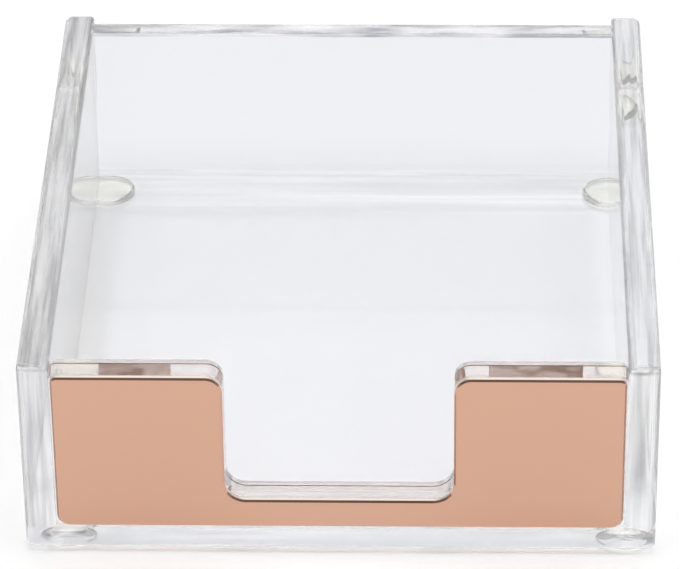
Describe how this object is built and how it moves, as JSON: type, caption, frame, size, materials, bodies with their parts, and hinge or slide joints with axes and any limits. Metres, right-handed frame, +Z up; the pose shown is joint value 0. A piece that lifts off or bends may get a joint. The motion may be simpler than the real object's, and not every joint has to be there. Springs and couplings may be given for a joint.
{
  "type": "memo tray",
  "caption": "Open clear acrylic tray for square memo notes, with thick side walls, a lower back wall, bumper feet and a finger-notched front panel faced with a rose-gold plate.",
  "frame": {"origin": "middle of the footprint, on the plane that the feet stand on", "axes": "+X to the right seen from the front, +Y from the notched front to the back wall, +Z up"},
  "size_m": [0.12, 0.127, 0.0435],
  "materials": {
    "clear_acrylic": "polished clear cast acrylic",
    "rose_gold": "satin rose-gold plate with a small bevel",
    "clear_tape": "clear double-sided tape",
    "clear_bumper": "clear soft polyurethane"
  },
  "bodies": {
    "root": {"base_plate": "clear_acrylic", "left_wall": "clear_acrylic", "right_wall": "clear_acrylic", "back_wall": "clear_acrylic", "front_panel": "clear_acrylic", "face_plate": "rose_gold", "tape_pad_left": "clear_tape", "tape_pad_right": "clear_tape", "foot_front_left": "clear_bumper", "foot_front_right": "clear_bumper", "foot_rear_left": "clear_bumper", "foot_rear_right": "clear_bumper"}
  },
  "joints": []
}
